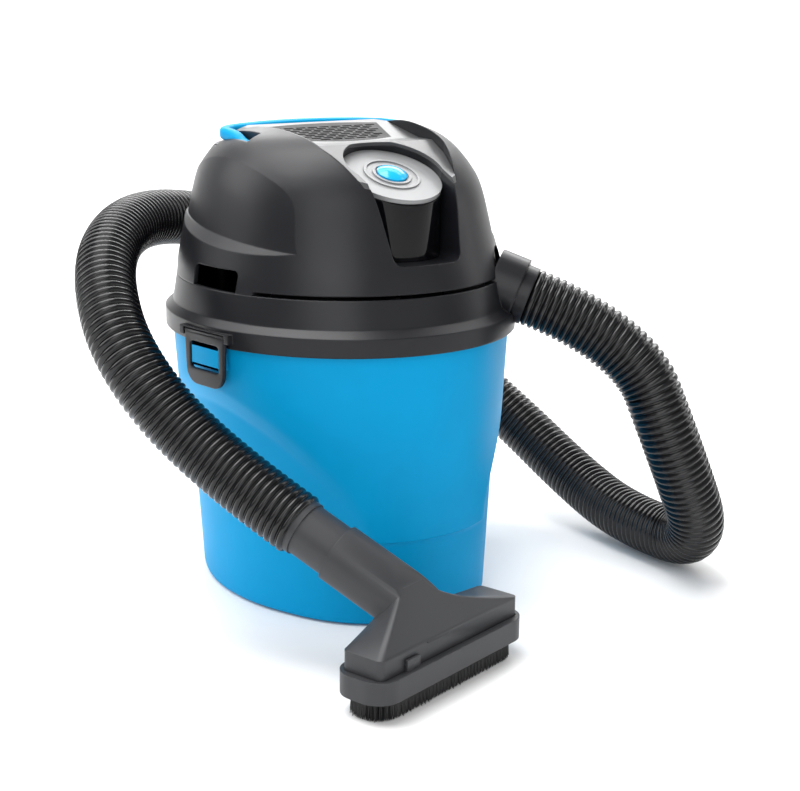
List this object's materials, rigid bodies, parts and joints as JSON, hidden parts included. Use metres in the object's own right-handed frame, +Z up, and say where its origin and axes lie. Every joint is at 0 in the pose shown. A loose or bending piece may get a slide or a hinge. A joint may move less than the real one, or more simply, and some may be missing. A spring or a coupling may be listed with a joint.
{
  "type": "shop vacuum",
  "caption": "Small portable wet and dry vacuum with a tapered tub, a latched powered head, a ribbed hose and a nozzle with a brush",
  "frame": {"origin": "middle of the tub's foot, on the floor", "axes": "+Z up, the front with the switch faces -Y, +X to the right seen from the front"},
  "size_m": [0.4167, 0.409, 0.3169],
  "materials": {
    "blue_plastic": "satin moulded",
    "black_plastic": "satin moulded",
    "grey_panel": "satin moulded",
    "window_black": "polished",
    "hose_black": "semi-gloss extruded",
    "tool_grey": "fine grain moulded",
    "bristle_black": "drawn filament",
    "seal_rubber": "matte",
    "inner_plastic": "moulded",
    "float_white": "moulded",
    "foam": "open cell foam",
    "steel": "bright",
    "lamination": "stacked sheet",
    "copper": "enamelled wire",
    "carbon": "pressed carbon",
    "fan_metal": "pressed sheet",
    "fan_plastic": "moulded"
  },
  "bodies": {
    "base": {"tub": "blue_plastic"},
    "head": {"lid_collar": "black_plastic", "lid_seal": "seal_rubber", "head_cover": "black_plastic", "latch_pins": "steel", "top_panel": "grey_panel", "intake_grille": "grey_panel", "switch_plate": "grey_panel", "switch_body": "inner_plastic", "display_window": "window_black", "handle_pins": "steel", "motor_gasket": "seal_rubber", "fan_housing": "inner_plastic", "lower_bearing": "steel", "upper_bearing": "steel", "stator": "lamination", "field_windings": "copper", "carbon_brushes": "carbon", "brush_holders": "inner_plastic", "motor_bracket": "inner_plastic", "float_cage": "inner_plastic", "foam_filter": "foam", "filter_ring": "inner_plastic", "inlet_elbow": "inner_plastic", "cord_gland": "seal_rubber", "head_screws": "steel", "motor_screws": "steel", "hose_cuff_machine": "black_plastic", "hose": "hose_black", "hose_cuff_tool": "tool_grey"},
    "left_latch": {"latch_left": "black_plastic"},
    "right_latch": {"latch_right": "black_plastic"},
    "handle": {"carry_handle": "blue_plastic"},
    "button": {"power_button": "blue_plastic"},
    "rotor": {"motor_shaft": "steel", "armature": "lamination", "commutator": "copper", "impeller": "fan_metal", "impeller_nut": "steel", "cooling_fan": "fan_plastic"},
    "float": {"float_ball": "float_white"},
    "floor_nozzle": {"nozzle": "tool_grey"},
    "brush": {"brush_frame": "tool_grey", "bristles": "bristle_black"}
  },
  "joints": [
    {"name": "head_lift", "type": "slide", "parent": "base", "child": "head", "axis": [0, 0, 1], "range_m": [0, 0.11]},
    {"name": "latch_left_swing", "type": "hinge", "parent": "head", "child": "left_latch", "pos_m": [-0.11599, -0.02197, 0.1895], "axis": [-0.1638, 0.9865, 0], "range_deg": [0, 60]},
    {"name": "latch_right_swing", "type": "hinge", "parent": "head", "child": "right_latch", "pos_m": [0.11599, -0.02197, 0.1895], "axis": [-0.1638, -0.9865, 0], "range_deg": [0, 60]},
    {"name": "handle_fold", "type": "hinge", "parent": "head", "child": "handle", "pos_m": [0, 0.009, 0.3035], "axis": [1, 0, 0], "range_deg": [0, 85]},
    {"name": "power_press", "type": "slide", "parent": "head", "child": "button", "axis": [0, 0.3907, -0.9205], "range_m": [0, 0.003], "stiffness_N_per_m": 200},
    {"name": "motor_spin", "type": "hinge", "parent": "head", "child": "rotor", "pos_m": [0, 0.018, 0.24], "axis": [0, 0, 1], "continuous": true},
    {"name": "float_rise", "type": "slide", "parent": "head", "child": "float", "axis": [0, 0, 1], "range_m": [0, 0.0278]},
    {"name": "nozzle_twist", "type": "hinge", "parent": "head", "child": "floor_nozzle", "pos_m": [-0.109, -0.1275, 0.089], "axis": [0.4455, -0.7716, -0.454], "continuous": true},
    {"name": "brush_pull", "type": "slide", "parent": "floor_nozzle", "child": "brush", "axis": [0, 0, -1], "range_m": [0, 0.02]}
  ],
  "couplings": [
    {"joint": "latch_left_swing", "follows": "head_lift", "rad_per_m": 9.5},
    {"joint": "latch_right_swing", "follows": "head_lift", "rad_per_m": 9.5}
  ]
}
